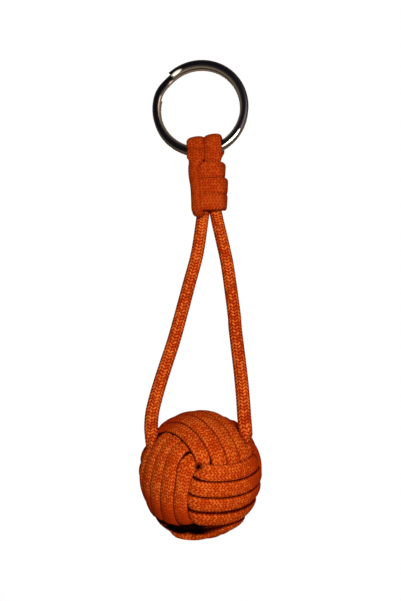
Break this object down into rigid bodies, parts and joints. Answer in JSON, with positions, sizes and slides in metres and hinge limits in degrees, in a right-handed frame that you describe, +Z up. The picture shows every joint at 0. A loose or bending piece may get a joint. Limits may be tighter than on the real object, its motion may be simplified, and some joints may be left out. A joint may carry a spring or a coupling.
{
  "type": "monkey's fist key fob",
  "caption": "Ball of knotted cord hung by a loop of the same cord, gathered under a whipped collar and looped over a split key ring.",
  "frame": {"origin": "inner top of the split ring, where a hook or a larger ring holds the fob", "axes": "+Z up along the hanging fob, +X to the viewer's right with the ring seen as a circle, +Y away from the viewer"},
  "size_m": [0.0374, 0.0372, 0.148],
  "materials": {
    "orange_cord": "woven nylon sheath, matte with a slight sheen",
    "nickel_steel": "polished nickel plate",
    "core_steel": "plain ground steel"
  },
  "bodies": {
    "ring": {"split_ring": "nickel_steel"},
    "hitch": {"left_bight": "orange_cord", "right_bight": "orange_cord", "tucked_strand": "orange_cord", "collar_wrap": "orange_cord"},
    "fist": {"left_leg": "orange_cord", "right_leg": "orange_cord", "core_ball": "core_steel", "first_pass": "orange_cord", "second_pass": "orange_cord", "third_pass": "orange_cord"}
  },
  "joints": [
    {"name": "ring_rock", "type": "hinge", "parent": "ring", "child": "hitch", "pos_m": [0.00166, 0, -0.02611], "axis": [0.9924, 0, 0.1227], "range_deg": [-120, 120]},
    {"name": "leg_swing", "type": "hinge", "parent": "hitch", "child": "fist", "pos_m": [0.0029, 0, -0.04855], "axis": [1, 0, 0], "range_deg": [-75, 75]}
  ]
}
